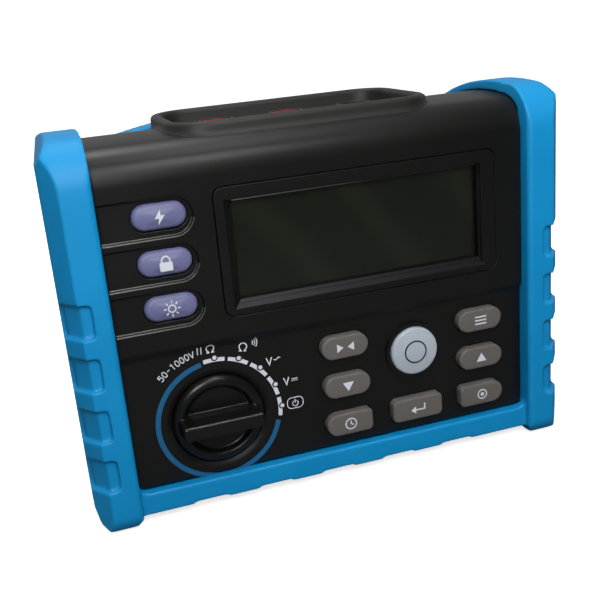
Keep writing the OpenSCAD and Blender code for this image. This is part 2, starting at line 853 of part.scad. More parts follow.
module main_board() {
    color([0.1, 0.4, 0.2]) difference() {
        block([-board_w / 2, board_y, board_z[0]], [board_w / 2, board_y + board_t, board_z[1]]);
        for (p = board_hole) rod_y(p[0], p[1], 1.7, board_y - past, board_y + board_t + past);
        rod_y(dial_x, dial_z, spindle_r + 0.06, board_y - past, board_y + board_t + past);
    }
}

module board_screws() {
    color(steel) for (p = board_hole) {
        rod_y(p[0], p[1], 1.45, board_y - 6, mount_y + 0.1);
        rod_y(p[0], p[1], 2.8, mount_y, mount_y + 1.8);
    }
}

// Middle of the transformer and its sizes
trafo = [45, mount_y + 13.1, 55];

module transformer_core() {
    color([0.25, 0.25, 0.27]) translate(trafo) difference() {
        cube([34, 20, 28], center = true);
        for (s = [-1, 1]) translate([s * 8.7, 0, 0]) cube([7, 20 + 2 * past, 18], center = true);
    }
}

module transformer_winding() {
    color([0.7, 0.4, 0.15]) translate(trafo) difference() {
        cube([23.6, 26, 17], center = true);
        cube([10.6, 20.3, 17 + 2 * past], center = true);
    }
}

module capacitors() {
    color([0.15, 0.2, 0.45]) for (p = [[-66, 104], [-66, 88], [-50, 96], [-50, 80]])
        rod_y(p[0], p[1], 6.3, mount_y, mount_y + 24);
}

module resistors() {
    color([0.75, 0.65, 0.5]) for (i = [0:5]) {
        rod_x(mount_y + 2, 24 + 6 * i, 1.5, -22, -13);
        rod_x(mount_y + 2, 24 + 6 * i, 0.35, -25, -10);
    }
}

module chips() {
    color([0.12, 0.12, 0.13]) for (p = [[-6, 66], [-6, 84], [16, 24]])
        block([p[0] - 9, mount_y, p[1] - 6], [p[0] + 9, mount_y + 2.4, p[1] + 6]);
}

module relays() {
    color([0.2, 0.25, 0.5]) for (x = [-16, 0, 16])
        block([x - 6, mount_y, 108], [x + 6, mount_y + 11, 120]);
}

module buzzer() {
    color([0.12, 0.12, 0.13]) difference() {
        rod_y(64, 100, 8, mount_y, mount_y + 8);
        rod_y(64, 100, 1.5, mount_y + 6, mount_y + 9);
    }
}

fuse_at = [-44, mount_y + 4.4, 60];

module fuse() {
    color([0.8, 0.85, 0.85]) rod_x(fuse_at[1], fuse_at[2], 2.6, fuse_at[0] - 10, fuse_at[0] + 10);
}

module fuse_clips() {
    color(brass) for (s = [-1, 1]) difference() {
        block([fuse_at[0] + s * 7.5 - 1.5, mount_y, fuse_at[2] - 3.4],
            [fuse_at[0] + s * 7.5 + 1.5, fuse_at[1] + 1.6, fuse_at[2] + 3.4]);
        rod_x(fuse_at[1], fuse_at[2], 2.65, fuse_at[0] - 12, fuse_at[0] + 12);
    }
}

// ---- Power ----

// Height of a row of cells, counted from the bottom
function cell_row(i) = bay_z + (i - 1.5) * cell_pitch;

module battery_cells() {
    body = cell_l - 1.5;
    button_r = 3.5;
    color([0.75, 0.6, 0.2]) for (i = [0:3]) mirror([i % 2, 0, 0]) for (x = [-cell_l - 0.2, -0.15]) {
        rod_x(cell_y, cell_row(i), cell_d / 2, x, x + body);
        rod_x(cell_y, cell_row(i), button_r, x + body, x + body + 1.45);
    }
}

module battery_contacts() {
    plate = [bay_w / 2 - 0.7, bay_w / 2 - 0.1];
    color(steel) for (s = [-1, 1], i = [0:3]) mirror([s < 0 ? 1 : 0, 0, 0]) {
        block([plate[0], cell_y - 8, cell_row(i) - 12], [plate[1], cell_y + 8, cell_row(i) + 12]);
        rod_x(cell_y, cell_row(i), 4, cell_l + 0.35, plate[0]);
    }
}

module battery_leads() {
    color([0.1, 0.1, 0.1]) for (s = [-1, 1])
        rod_y(s * 54.5, bay_z + bay_h / 2 - 3, 1.1, mount_y, bay_y + 2.2);
}

// ---- Fasteners ----

module case_screws() {
    color(steel) for (sx = [-1, 1], z = boss_z) {
        rod_y(sx * boss_x, z, 1.75, seam_y - 8, case_y1 - 3.8);
        rod_y(sx * boss_x, z, 3.2, case_y1 - 3.95, case_y1 - 1.2);
    }
}

module threaded_inserts() {
    color(brass) for (sx = [-1, 1], z = boss_z) difference() {
        rod_y(sx * boss_x, z, 2.85, seam_y - 8.6, seam_y - 0.4);
        rod_y(sx * boss_x, z, 1.8, seam_y - 10, seam_y);
    }
}

// ---- Assembly ----

front_case();
rear_case();
battery_cover();
battery_cover_screws();
protective_boot();
display_bezel();
display_lens();
lens_gasket();
lcd_glass();
elastomer_strips();
backlight_panel();
lcd_holder();
display_cable();
voltage_key();
hold_key();
backlight_key();
memory_key();
read_key();
select_key();
enter_key();
compare_key();
relative_key();
timer_key();
measure_key();
measure_collar();
keypad_mat();
side_keypad_mat();
dial_knob();
dial_rotor();
rotor_wipers();
detent_ring();
terminal_block();
line_socket();
volt_socket();
earth_socket();
socket_contacts();
socket_leads();
main_board();
board_screws();
transformer_core();
transformer_winding();
capacitors();
resistors();
chips();
relays();
buzzer();
fuse();
fuse_clips();
battery_cells();
battery_contacts();
battery_leads();
case_screws();
threaded_inserts();
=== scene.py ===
import json
import math

import bmesh
import bpy
from mathutils import Matrix, Vector


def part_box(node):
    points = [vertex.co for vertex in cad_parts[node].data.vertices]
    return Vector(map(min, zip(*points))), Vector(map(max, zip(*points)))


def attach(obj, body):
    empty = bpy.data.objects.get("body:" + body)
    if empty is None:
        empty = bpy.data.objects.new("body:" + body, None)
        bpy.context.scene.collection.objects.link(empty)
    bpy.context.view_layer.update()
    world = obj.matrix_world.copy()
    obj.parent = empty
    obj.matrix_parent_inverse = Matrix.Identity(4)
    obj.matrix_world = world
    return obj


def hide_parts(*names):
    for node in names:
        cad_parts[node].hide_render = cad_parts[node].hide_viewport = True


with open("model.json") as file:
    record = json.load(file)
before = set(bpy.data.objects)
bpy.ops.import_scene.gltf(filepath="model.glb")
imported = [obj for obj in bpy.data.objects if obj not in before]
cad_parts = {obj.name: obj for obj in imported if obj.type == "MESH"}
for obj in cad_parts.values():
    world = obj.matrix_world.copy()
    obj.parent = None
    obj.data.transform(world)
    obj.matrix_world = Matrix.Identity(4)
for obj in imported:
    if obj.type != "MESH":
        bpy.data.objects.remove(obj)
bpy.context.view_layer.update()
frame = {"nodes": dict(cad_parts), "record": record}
MM = 0.001
record = frame["record"]
SLOT = {part["node"]: part["material_slot"] for part in record["subparts"]}
BODY = {node: body for body, nodes in record["behaviour"]["bodies"].items() for node in nodes}


# ---------- small helpers: everything below is written in millimetres ----------

def box(node):
    low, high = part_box(node)
    return low / MM, high / MM


def middle(node):
    low, high = box(node)
    return (low + high) / 2


def new_object(name, mesh, body, slot, replaces=(), material=None):
    """A piece that rides on a body, in its slot's finish unless it has a material of its own."""
    obj = bpy.data.objects.new(name, mesh)
    bpy.context.scene.collection.objects.link(obj)
    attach(obj, body)
    if replaces:
        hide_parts(*replaces)
    obj.data.materials.clear()
    obj.data.materials.append(material or MATERIAL[slot])
    return obj


def oval(centre, u, v, steps=10):
    """A ring of points about the centre, reaching to u and v."""
    angles = [2 * math.pi * k / steps for k in range(steps)]
    return [Vector(centre) + Vector(u) * math.cos(a) + Vector(v) * math.sin(a) for a in angles]


def smooth(mesh, degrees=35):
    for p in mesh.polygons:
        p.use_smooth = True
    mesh.set_sharp_from_angle(angle=math.radians(degrees))


def mesh_from(name, points, faces, degrees=35):
    mesh = bpy.data.meshes.new(name)
    mesh.from_pydata([Vector(p) * MM for p in points], [], faces)
    mesh.validate()
    bm = bmesh.new()
    bm.from_mesh(mesh)
    bmesh.ops.remove_doubles(bm, verts=bm.verts, dist=1e-7)
    bmesh.ops.recalc_face_normals(bm, faces=bm.faces)
    bm.to_mesh(mesh)
    bm.free()
    smooth(mesh, degrees)
    return mesh


class Shape:
    """Collects closed bodies as points and faces, to become one mesh."""

    def __init__(self):
        self.points, self.faces = [], []

    def rings(self, rings, ends=True):
        """A skin over a row of rings of points, closed at both ends unless ends is False."""
        start, n = len(self.points), len(rings[0])
        for ring in rings:
            self.points += ring
        for i in range(len(rings) - 1):
            for j in range(n):
                k = (j + 1) % n
                a, b = start + i * n, start + (i + 1) * n
                self.faces.append((a + j, a + k, b + k, b + j))
        if ends:
            self.faces.append(tuple(range(start + n - 1, start - 1, -1)))
            self.faces.append(tuple(range(start + (len(rings) - 1) * n, start + len(rings) * n)))
        return self

    def mesh(self, name, degrees=35):
        return mesh_from(name, self.points, self.faces, degrees)


def corners(parts, steps=10):
    """An outline from corner arcs (x, z, radius, first angle, last angle), growing outwards by g."""

    def at(g):
        out = []
        for x, z, r, a0, a1 in parts:
            grown = r + g
            if grown < 0:
                mid = math.radians((a0 + a1) / 2)
                shift = grown * math.sqrt(2)
                x, z, grown = x + math.cos(mid) * shift, z + math.sin(mid) * shift, 0
            for i in range(steps + 1):
                a = math.radians(a0 + (a1 - a0) * i / steps)
                out.append((x + grown * math.cos(a), z + grown * math.sin(a)))
        return out

    return at


def round_rect(cx, cz, w, h, radii, steps=10):
    """radii: one for all, or right-top, left-top, left-bottom, right-bottom."""
    r = radii if isinstance(radii, (list, tuple)) else [radii] * 4
    parts = []
    for (sx, sz), rr, a in zip([(1, 1), (-1, 1), (-1, -1), (1, -1)], r, [0, 90, 180, 270]):
        parts.append((cx + sx * (w / 2 - rr), cz + sz * (h / 2 - rr), rr, a, a + 90))
    return corners(parts, steps)


def key_shape(outline, cx, cz, face_y, back_y, edge, dome):
    """A key cap with a soft edge and a slightly domed face; its flange keeps it behind the panel."""
    rings = []
    inner = outline(-edge)
    for s in [0.12, 0.35, 0.6, 0.82]:
        y = face_y + dome * s ** 2
        rings.append([(cx + (x - cx) * s, y, cz + (z - cz) * s) for x, z in inner])
    for i in range(7):
        t = math.pi / 2 * i / 6
        g = -edge + edge * math.sin(t)
        y = face_y + dome + edge * (1 - math.cos(t))
        rings.append([(x, y, z) for x, z in outline(g)])
    for grow, y in [(0, back_y - FLANGE), (FLANGE, back_y - FLANGE), (FLANGE, back_y)]:
        rings.append([(x, y, z) for x, z in outline(grow)])
    return Shape().rings(rings)


def offsets(path, half, closed=False):
    """Left and right sides of a band along a path, with mitred corners."""
    n = len(path)
    left, right = [], []
    for i in range(n):
        before = path[i - 1] if closed or i else path[0]
        after = path[(i + 1) % n] if closed or i < n - 1 else path[-1]
        here = Vector(path[i])
        a = (here - Vector(before)).normalized() if here != Vector(before) else None
        b = (Vector(after) - here).normalized() if here != Vector(after) else None
        a, b = a or b, b or a
        side = Vector((-(a.y + b.y), a.x + b.x)).normalized()
        reach = half / max(0.35, side.dot(Vector((-a.y, a.x))))
        left.append(here + side * reach)
        right.append(here - side * reach)
    return left, right


class Print(Shape):
    """Flat printed marks, each a thin closed body lying on a surface given as its depth over height."""

    def __init__(self, surface, out=0.06, into=0.06):
        super().__init__()
        self.surface = surface if callable(surface) else lambda z: surface
        self.out, self.into = out, into

    def front(self, p):
        return (p[0], self.surface(p[1]) - self.out, p[1])

    def back(self, p):
        return (p[0], self.surface(p[1]) + self.into, p[1])

    def fill(self, outline):
        return self.rings([[self.front(p) for p in outline], [self.back(p) for p in outline]])

    def band(self, path, width, closed=False):
        left, right = offsets(path, width / 2, closed)
        rings = [[self.front(a), self.back(a), self.back(b), self.front(b)] for a, b in zip(left, right)]
        return self.rings(rings + rings[:1], False) if closed else self.rings(rings)

    def arc(self, x, z, r, a0, a1, width, steps=24):
        return self.band(arc(x, z, r, a0, a1, steps), width)

    def circle(self, x, z, r, width, steps=32):
        return self.band(arc(x, z, r, 0, 360, steps)[:-1], width, True)

    def dot(self, x, z, r, steps=24):
        return self.fill(arc(x, z, r, 0, 360, steps)[:-1])


def arc(x, z, r, a0, a1, steps=24):
    angles = [math.radians(a0 + (a1 - a0) * i / steps) for i in range(steps + 1)]
    return [(x + r * math.cos(a), z + r * math.sin(a)) for a in angles]


def moved(path, x, z, size, turn=0.0):
    """A path drawn about the origin, sized, turned and put at (x, z)."""
    c, s = math.cos(math.radians(turn)) * size, math.sin(math.radians(turn)) * size
    return [(x + px * c - pz * s, z + px * s + pz * c) for px, pz in path]


# ---------- materials ----------

def principled(name):
    mat = bpy.data.materials.new(name)
    mat.use_nodes = True
    nodes, links = mat.node_tree.nodes, mat.node_tree.links
    return mat, nodes, links, nodes["Principled BSDF"]


def plastic(name, colour, rough=0.4, grain=2200.0, bump=0.05, wear=0.06, specular=0.5, coat=0.0, metallic=0.0):
    """Moulded surface: fine grain in the bump, clouded roughness and colour."""
    mat, nodes, links, shader = principled(name)
    coords = nodes.new("ShaderNodeTexCoord")
    cloud = nodes.new("ShaderNodeTexNoise")
    cloud.inputs["Scale"].default_value = 38
    cloud.inputs["Detail"].default_value = 5
    fine = nodes.new("ShaderNodeTexNoise")
    fine.inputs["Scale"].default_value = grain
    fine.inputs["Detail"].default_value = 2
    links.new(coords.outputs["Object"], cloud.inputs["Vector"])
    links.new(coords.outputs["Object"], fine.inputs["Vector"])
    tint = nodes.new("ShaderNodeValToRGB")
    dark = [c * (1 - wear) for c in colour]
    light = [min(1, c * (1 + wear)) for c in colour]
    tint.color_ramp.elements[0].position = 0.3
    tint.color_ramp.elements[1].position = 0.7
    tint.color_ramp.elements[0].color = (*dark, 1)
    tint.color_ramp.elements[1].color = (*light, 1)
    links.new(cloud.outputs["Fac"], tint.inputs["Fac"])
    links.new(tint.outputs["Color"], shader.inputs["Base Color"])
    span = nodes.new("ShaderNodeMapRange")
    span.inputs["To Min"].default_value = max(0.03, rough - 0.05)
    span.inputs["To Max"].default_value = min(1, rough + 0.05)
    links.new(cloud.outputs["Fac"], span.inputs["Value"])
    links.new(span.outputs["Result"], shader.inputs["Roughness"])
    height = nodes.new("ShaderNodeBump")
    height.inputs["Strength"].default_value = bump
    height.inputs["Distance"].default_value = 0.0001
    links.new(fine.outputs["Fac"], height.inputs["Height"])
    links.new(height.outputs["Normal"], shader.inputs["Normal"])
    shader.inputs["Specular IOR Level"].default_value = specular
    shader.inputs["Coat Weight"].default_value = coat
    shader.inputs["Metallic"].default_value = metallic
    return mat


def glass(name):
    """Thin clear window: mostly see-through, with a smeary reflection."""
    mat, nodes, links, shader = principled(name)
    clear = nodes.new("ShaderNodeBsdfTransparent")
    clear.inputs["Color"].default_value = (0.8, 0.82, 0.78, 1)
    gloss = nodes.new("ShaderNodeBsdfGlossy")
    cloud = nodes.new("ShaderNodeTexNoise")
    cloud.inputs["Scale"].default_value = 30
    span = nodes.new("ShaderNodeMapRange")
    span.inputs["To Min"].default_value = 0.05
    span.inputs["To Max"].default_value = 0.14
    fres = nodes.new("ShaderNodeFresnel")
    fres.inputs["IOR"].default_value = 1.45
    mix = nodes.new("ShaderNodeMixShader")
    out = nodes["Material Output"]
    links.new(cloud.outputs["Fac"], span.inputs["Value"])
    links.new(span.outputs["Result"], gloss.inputs["Roughness"])
    links.new(fres.outputs["Fac"], mix.inputs["Fac"])
    links.new(clear.outputs["BSDF"], mix.inputs[1])
    links.new(gloss.outputs["BSDF"], mix.inputs[2])
    links.new(mix.outputs["Shader"], out.inputs["Surface"])
    nodes.remove(shader)
    return mat


def display(name):
    """A switched-off display: green-black, with faint slanting reflections from the room."""
    mat, nodes, links, shader = principled(name)
    coords = nodes.new("ShaderNodeTexCoord")
    turn = nodes.new("ShaderNodeMapping")
    turn.inputs["Rotation"].default_value = (0, math.radians(38), 0)
    wave = nodes.new("ShaderNodeTexWave")
    wave.inputs["Scale"].default_value = 9
    wave.inputs["Distortion"].default_value = 4
    wave.inputs["Detail"].default_value = 1
    tint = nodes.new("ShaderNodeValToRGB")
    tint.color_ramp.elements[0].position = 0.55
    tint.color_ramp.elements[0].color = (0.024, 0.026, 0.017, 1)
    tint.color_ramp.elements[1].position = 1.0
    tint.color_ramp.elements[1].color = (0.038, 0.041, 0.029, 1)
    links.new(coords.outputs["Object"], turn.inputs["Vector"])
    links.new(turn.outputs["Vector"], wave.inputs["Vector"])
    links.new(wave.outputs["Fac"], tint.inputs["Fac"])
    links.new(tint.outputs["Color"], shader.inputs["Base Color"])
    shader.inputs["Roughness"].default_value = 0.3
    shader.inputs["Specular IOR Level"].default_value = 0.35
    return mat


def painted_highlight(name, bright, dark, x0, x1):
    """Painted highlight: a colour lightest at the left end that fades along X, standing in for light caught by
    an edge.
    """
    mat, nodes, links, shader = principled(name)
    coords = nodes.new("ShaderNodeTexCoord")
    split = nodes.new("ShaderNodeSeparateXYZ")
    span = nodes.new("ShaderNodeMapRange")
    span.inputs["From Min"].default_value = x0 * MM
    span.inputs["From Max"].default_value = x1 * MM
    tint = nodes.new("ShaderNodeValToRGB")
    tint.color_ramp.elements[0].color = (bright, bright, bright * 0.9, 1)
    tint.color_ramp.elements[1].color = (dark, dark, dark, 1)
    links.new(coords.outputs["Object"], split.inputs["Vector"])
    links.new(split.outputs["X"], span.inputs["Value"])
    links.new(span.outputs["Result"], tint.inputs["Fac"])
    links.new(tint.outputs["Color"], shader.inputs["Base Color"])
    shader.inputs["Roughness"].default_value = 0.25
    return mat


MATERIAL = {
    "case_black": plastic("case_black", (0.0036, 0.0034, 0.0032), 0.40, 2600, 0.10, 0.1, 0.5),
    "boot_blue": plastic("boot_blue", (0.002, 0.24, 0.53), 0.5, 1500, 0.06, 0.05, 0.28),
    "window_clear": glass("window_clear"),
    "lcd": display("lcd"),
    "seal_black": plastic("seal_black", (0.006, 0.006, 0.007), 0.7, 1500, 0.1, 0.1, 0.3),
    "key_purple": plastic("key_purple", (0.135, 0.14, 0.275), 0.42, 1800, 0.08, 0.05, 0.4),
    "key_grey": plastic("key_grey", (0.118, 0.108, 0.102), 0.5, 1800, 0.1, 0.06, 0.35),
    "key_silver": plastic("key_silver", (0.38, 0.43, 0.48), 0.42, 1500, 0.05, 0.04, 0.45),
    "natural_plastic": plastic("natural_plastic", (0.72, 0.71, 0.66), 0.5),
    "socket_red": plastic("socket_red", (0.34, 0.015, 0.015), 0.4),
    "socket_black": plastic("socket_black", (0.008, 0.008, 0.009), 0.4),
    "brass": plastic("brass", (0.72, 0.52, 0.22), 0.28, 900, 0.05, 0.12, 0.5, 0, 1.0),
    "steel": plastic("steel", (0.55, 0.56, 0.58), 0.32, 900, 0.05, 0.12, 0.5, 0, 1.0),
    "board_green": plastic("board_green", (0.02, 0.14, 0.05), 0.4),
    "core_iron": plastic("core_iron", (0.09, 0.09, 0.1), 0.55, 600, 0.2),
    "copper_wire": plastic("copper_wire", (0.62, 0.26, 0.1), 0.35, 700, 0.25, 0.15, 0.5, 0, 0.8),
    "part_dark": plastic("part_dark", (0.02, 0.02, 0.022), 0.45),
    "part_blue": plastic("part_blue", (0.03, 0.07, 0.25), 0.4),
    "part_tan": plastic("part_tan", (0.5, 0.38, 0.25), 0.5),
    "lead_red": plastic("lead_red", (0.4, 0.02, 0.02), 0.5),
    "fuse_glass": plastic("fuse_glass", (0.6, 0.65, 0.65), 0.12, 500, 0.02, 0.05, 0.5, 0.3),
    "cell_jacket": plastic("cell_jacket", (0.42, 0.28, 0.06), 0.35, 500, 0.04, 0.15, 0.5, 0.2),
}
TRAY_BLACK = plastic("tray_black", (0.013, 0.0125, 0.0115), 0.5, 2600, 0.12, 0.1, 0.5)
KNOB_BLACK = plastic("knob_black", (0.004, 0.004, 0.0042), 0.3, 2600, 0.05, 0.1, 0.5)
PRINT_WHITE = plastic("white_print", (0.60, 0.62, 0.68), 0.55, 2500, 0.05, 0.04, 0.3)
PRINT_BLUE = plastic("blue_print", (0.010, 0.105, 0.24), 0.5, 2500, 0.05, 0.05, 0.3)
PRINT_DARK = plastic("dark_print", (0.012, 0.014, 0.02), 0.5, 2500, 0.05, 0.05, 0.3)

# painted highlights: light colours fading along X on thin edge pieces, standing in for light caught by the
# window's top edge, the grip's edge and the pockets' lips
WINDOW_PAINTED_HIGHLIGHT = painted_highlight("window_painted_highlight", 0.9, 0.12, -36, 25)
GRIP_PAINTED_HIGHLIGHT = painted_highlight("grip_painted_highlight", 0.12, 0.07, -66, -30)
POCKET_PAINTED_HIGHLIGHT = painted_highlight("pocket_painted_highlight", 0.2, 0.05, -90, -50)


# ---------- CAD shells with soft edges ----------

def clean_copy(node, name):
    """The CAD node's own mesh, copied, welded, and with its flat faces made whole."""
    mesh = frame["nodes"][node].data.copy()
    mesh.name = name
    for a in list(mesh.attributes):
        if a.name == "custom_normal":
            mesh.attributes.remove(a)
    bm = bmesh.new()
    bm.from_mesh(mesh)
    bmesh.ops.remove_doubles(bm, verts=bm.verts, dist=2e-6)
    bmesh.ops.dissolve_limit(bm, angle_limit=math.radians(0.4), verts=bm.verts,
                             edges=bm.edges, use_dissolve_boundaries=False)
    bm.to_mesh(mesh)
    bm.free()
    return mesh


def settle(obj):
    """Applies the object's modifiers to its mesh."""
    bpy.context.view_layer.update()
    mesh = bpy.data.meshes.new_from_object(obj.evaluated_get(bpy.context.evaluated_depsgraph_get()))
    obj.modifiers.clear()
    obj.data = mesh


def soft_edges(node, name, body, width, lower=False, flats=False):
    """The CAD node's copy with its edges rounded.

    lower stops its highest faces under the tray's rim, which is a piece of its own.
    flats shades its large faces as planes.
    """
    mesh = clean_copy(node, name)
    if lower:
        for v in mesh.vertices:
            if v.co.z > (RIM_TOP - 0.2) * MM:
                v.co.z = (RIM_TOP - RIM_ROUND) * MM
    obj = new_object(name, mesh, body, SLOT[node], (node,))
    bevel = obj.modifiers.new("edges", "BEVEL")
    bevel.width = width * MM
    bevel.segments = 3
    bevel.limit_method = "ANGLE"
    bevel.angle_limit = math.radians(28)
    bevel.use_clamp_overlap = flats
    bevel.miter_outer = "MITER_ARC"
    settle(obj)
    smooth(obj.data, 32)
    if flats:
        largest_strip = 60 * MM * MM
        for face in obj.data.polygons:
            face.use_smooth = len(face.vertices) == 4 and face.area < largest_strip
        return
    weigh = obj.modifiers.new("normals", "WEIGHTED_NORMAL")
    weigh.keep_sharp = True
    weigh.weight = 80
    settle(obj)


def worn(obj, voxel, passes, keep=None):
    """Resamples a piece evenly and wears its edges round, like a soft moulding."""
    resample = obj.modifiers.new("resample", "REMESH")
    resample.mode = "VOXEL"
    resample.voxel_size = voxel * MM
    relax = obj.modifiers.new("relax", "SMOOTH")
    relax.factor = 0.5
    relax.iterations = passes
    if keep:
        thin = obj.modifiers.new("thin", "DECIMATE")
        thin.ratio = keep
    settle(obj)
    smooth(obj.data, 60)


# the case's top: a dome about CROWN_Y, meeting the front in a round of TOP_R
TOP_R, CROWN_R, CROWN_Y = 14, 115, -12
TRAY_PROUD = 3.2
RIM_ROUND = 1.8
RIM_TOP = box("rear_case")[1].z


def crown(y):
    """Height of the case's gently domed top, and of the round it makes with the front."""
    front = box("front_case")[0].y
    centre = box("front_case")[1].z - TRAY_PROUD - CROWN_R
    round_y = front + TOP_R
    round_z = centre + math.sqrt((CROWN_R - TOP_R) ** 2 - (round_y - CROWN_Y) ** 2)
    meet = CROWN_Y + (round_y - CROWN_Y) * CROWN_R / (CROWN_R - TOP_R)
    if y < meet:
        return round_z + math.sqrt(max(0, TOP_R ** 2 - (y - round_y) ** 2))
    return centre + math.sqrt(CROWN_R ** 2 - (y - CROWN_Y) ** 2)


boot = new_object("boot", clean_copy("protective_boot", "boot"), "root", SLOT["protective_boot"],
                  ("protective_boot",))
worn(boot, 0.6, 7, 0.25)
soft_edges("front_case", "front_shell", "root", 0.35, lower=True)
soft_edges("rear_case", "rear_shell", "root", 0.35, lower=True)
soft_edges("display_bezel", "bezel", "root", 0.25)
soft_edges("battery_cover", "battery_door", "battery_door", 0.4, flats=True)

# the terminal tray's rounded rim, flaring out where it meets the case, in the two shells' halves
TRAY_W, TRAY_D, TRAY_R, TRAY_Y, TRAY_WALL = 106, 60, 15, -0.5, 4.2
SEAM, SEAM_GAP = -10, 0.12
# the rounded rim covers the CAD wall by this much on each side
RIM_SKIN = 0.12
full_rim = round_rect(0, TRAY_Y, TRAY_W, TRAY_D, TRAY_R, 14)
# the points of a section that lie on the case, before the wall's inner foot, which is the last one
FOOT_POINTS = 4


def rim_section(i):
    """Points round the wall's section at the outline's station i, from the outer foot over to the inner."""

    def at(g, z):
        x, y = full_rim(g)[i]
        return (x, y, z)

    flare = 2.0
    base = crown(full_rim(1.4)[i][1])
    out = [at(flare, crown(full_rim(flare)[i][1]) - 0.5)]
    out += [at(1.0, base + 0.35), at(0.45, base + 1.2), at(0.2, base + 2.4)]
    half = TRAY_WALL / 2 + RIM_SKIN
    for k in range(9):
        a = math.pi * k / 8
        out.append(at(-TRAY_WALL / 2 + half * math.cos(a), RIM_TOP - 1.9 + 1.85 * math.sin(a)))
    out += [at(-TRAY_WALL - 0.25, RIM_TOP - 5), at(-TRAY_WALL - 0.9, RIM_TOP - 7.3)]
    out += [at(-TRAY_WALL + 1, RIM_TOP - 7.3), at(-1, base - 1.5)]
    return out


def rim_half(name, front):
    """The rim's front or rear half, with its ends square to the seam."""
    stations = len(full_rim(0))
    keep = [i for i in range(stations) if (full_rim(0)[i][1] < SEAM) == front]
    # start where the half begins, going round the outline
    start = next(i for i in keep if (i - 1) % stations not in keep)
    sections = [rim_section((start + k) % stations) for k in range(len(keep))]
    seam = SEAM - SEAM_GAP if front else SEAM + SEAM_GAP

    def at_seam(section):
        rise = crown(seam) - crown(section[FOOT_POINTS][1])
        on_case = set(range(FOOT_POINTS)) | {len(section) - 1}
        return [(x, seam, z + (rise if k in on_case else 0)) for k, (x, y, z) in enumerate(section)]

    sections = [at_seam(sections[0])] + sections + [at_seam(sections[-1])]
    new_object(name, Shape().rings(sections).mesh(name, 50), "root", "case_black", material=TRAY_BLACK)


rim_half("tray_rim_front", True)
rim_half("tray_rim_rear", False)

# ---------- keys ----------
SIDE_KEYS = ["voltage_key", "hold_key", "backlight_key"]
GREY_KEYS = ["memory_key", "read_key", "select_key", "compare_key", "relative_key", "timer_key"]
FLANGE = 1.0
SQUARE_CORNER = 2.2


def key_radii(node, w, h):
    """Corner radii: full rounds, but for the outer corners of the lowest keys."""
    special = {
        "select_key": [h / 2, SQUARE_CORNER, SQUARE_CORNER, h / 2],
        "timer_key": [SQUARE_CORNER, h / 2, h / 2, SQUARE_CORNER],
        "enter_key": 2.4,
        "measure_key": w / 2,
    }
    return special.get(node, h / 2)


def key_softness(node):
    """Width of the rounded edge, and how far the face is domed."""
    if node == "measure_key":
        return 1.1, 0.7
    return (2.2, 0.8) if node in SIDE_KEYS else (0.9, 0.12)


for node in SIDE_KEYS + GREY_KEYS + ["enter_key", "measure_key"]:
    low, high = box(node)
    x, z = (low.x + high.x) / 2, (low.z + high.z) / 2
    w, h = high.x - low.x - 2 * FLANGE, high.z - low.z - 2 * FLANGE
    outline = round_rect(x, z, w, h, key_radii(node, w, h), 16)
    cap = key_shape(outline, x, z, low.y, high.y, *key_softness(node))
    new_object(node.replace("_key", "_cap"), cap.mesh(node, 40), BODY[node], SLOT[node], (node,))

# ---------- the dial ----------
knob_low, knob_high = box("dial_knob")
DIAL = middle("dial_knob")
KNOB_R = (knob_high.x - knob_low.x) / 2
STEM_R = 4
# the panel: the display section stands PANEL_STEP proud of the keypad, above a slope that ends at STEP_Z
PANEL_STEP, SLOPE_RISE, STEP_Z = 2.1, 4.6, 70.8
DISPLAY = box("front_case")[0].y
PANEL = DISPLAY + PANEL_STEP
CREST = PANEL - 1.4


def panel_at(z):
    """Depth of the panel's face: the keypad, the slope, then the display section."""
    t = min(1, max(0, (z - STEP_Z + SLOPE_RISE) / SLOPE_RISE))
    return PANEL - PANEL_STEP * t * t * (3 - 2 * t)


def lathe(profile, steps=96):
    """A turned body about the dial's axis from (radius, depth) pairs, the depth measured from the crest."""
    tiny = 0.01
    return [oval((DIAL.x, CREST + y, DIAL.z), (max(r, tiny), 0, 0), (0, 0, max(r, tiny)), steps)
            for r, y in profile]


foot, end = 7.5, knob_high.y - CREST
knob = Shape().rings(lathe([
    (0, 2.7), (12.6, 2.7), (13.2, 2.4), (13.9, 0.9), (14.4, 0.2), (15.2, 0),
    (16.0, 0.12), (16.8, 0.42), (17.5, 0.9), (18.0, 1.5), (KNOB_R - 0.05, 2.1), (KNOB_R, 2.8),
    (KNOB_R, foot), (STEM_R + 0.3, foot), (STEM_R, foot + 0.3), (STEM_R, end), (0, end)
]))
grip_face = knob_low.y
grip = []
for reach, half, y in [(16.6, 3.5, CREST + 5), (16.6, 3.5, CREST + 1.2), (16.2, 3.1, CREST - 1),
                       (15.9, 3.0, grip_face + 1.0), (15.7, 2.7, grip_face + 0.35), (15.3, 2.2, grip_face)]:
    outline = round_rect(DIAL.x, DIAL.z, 2 * reach, 2 * half, 1.2, 4)
    grip.append([(x, y, z) for x, z in outline(0)])
knob.rings(grip)
worn(new_object("knob", knob.mesh("knob"), "dial", "case_black", ("dial_knob",), KNOB_BLACK),
     0.25, 3)

# the grip's upper edge, a thin bead whose lighter colour is a painted highlight, fading along X
EDGE_REACH = 15.2
grip_edge = Shape().rings([oval((DIAL.x + EDGE_REACH * (k / 6 - 1), grip_face + 0.42, DIAL.z + 2.62),
                                (0, 0.2, 0), (0, 0, 0.2), 8) for k in range(13)])
new_object("grip_edge", grip_edge.mesh("grip_edge", 60), "dial", "case_black", material=GRIP_PAINTED_HIGHLIGHT)


def around(angle, r):
    """The point of the panel at an angle and radius about the dial."""
    return DIAL.x + r * math.cos(math.radians(angle)), DIAL.z + r * math.sin(math.radians(angle))


